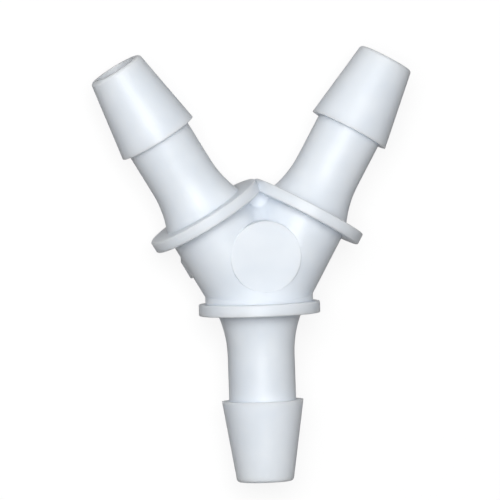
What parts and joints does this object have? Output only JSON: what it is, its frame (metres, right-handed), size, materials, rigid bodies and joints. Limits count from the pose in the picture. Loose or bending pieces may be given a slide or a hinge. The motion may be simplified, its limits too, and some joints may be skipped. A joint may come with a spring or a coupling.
{
  "type": "tubing y connector",
  "caption": "Barbed Y connector for flexible tubing: a straight stem forks into arms at 60 degrees, each end with a barb, flared neck and round stop flange, moulded in white plastic.",
  "frame": {"origin": "the point where the three bore axes meet, on the level of the stem flange's inner face and in the parting plane", "axes": "+Y from the stem towards the arms along the line that halves the angle between them, the stem runs along -Y; +Z out of the face with the round pad; +X to the right seen from the pad side, towards the right arm"},
  "size_m": [0.0476, 0.0635, 0.0178],
  "materials": {
    "white_plastic": "natural white moulded polypropylene, smooth with a soft gloss"
  },
  "bodies": {
    "root": {"y_connector": "white_plastic"}
  },
  "joints": []
}
